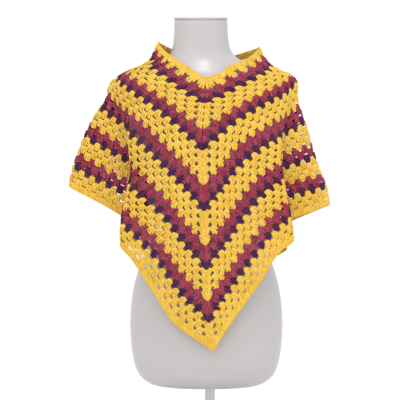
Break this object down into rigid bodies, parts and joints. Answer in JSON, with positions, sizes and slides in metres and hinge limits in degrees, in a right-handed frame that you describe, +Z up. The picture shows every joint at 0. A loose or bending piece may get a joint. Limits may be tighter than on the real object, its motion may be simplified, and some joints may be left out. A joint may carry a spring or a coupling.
{
  "type": "crocheted poncho on a dress form",
  "caption": "V-neck crocheted poncho in yellow, magenta and purple bands, hung on a limbless white dress form that stands on a pole and round base",
  "frame": {"origin": "centre of the underside of the round base plate", "axes": "+Z up, -Y to the front of the garment, +X to the right of someone facing it"},
  "size_m": [0.5748, 0.32, 0.9849],
  "materials": {
    "yarn_yellow": "matt woollen yarn",
    "yarn_magenta": "matt woollen yarn",
    "yarn_purple": "matt woollen yarn",
    "form_shell": "smooth satin white",
    "stand_metal": "satin"
  },
  "bodies": {
    "root": {"neck_edging": "yarn_yellow", "yellow_band_1": "yarn_yellow", "magenta_band_1": "yarn_magenta", "purple_band_1": "yarn_purple", "yellow_band_2": "yarn_yellow", "magenta_band_2": "yarn_magenta", "purple_band_2": "yarn_purple", "yellow_band_3": "yarn_yellow", "magenta_band_3": "yarn_magenta", "purple_band_3": "yarn_purple", "yellow_band_4": "yarn_yellow", "magenta_band_4": "yarn_magenta", "purple_band_4": "yarn_purple", "yellow_band_5": "yarn_yellow", "magenta_band_5": "yarn_magenta", "purple_band_5": "yarn_purple", "yellow_band_6": "yarn_yellow", "hem_edging": "yarn_yellow", "form_torso": "form_shell", "form_neck_cap": "form_shell", "stand_pole": "stand_metal", "stand_hub": "stand_metal", "stand_base": "stand_metal"}
  },
  "joints": []
}
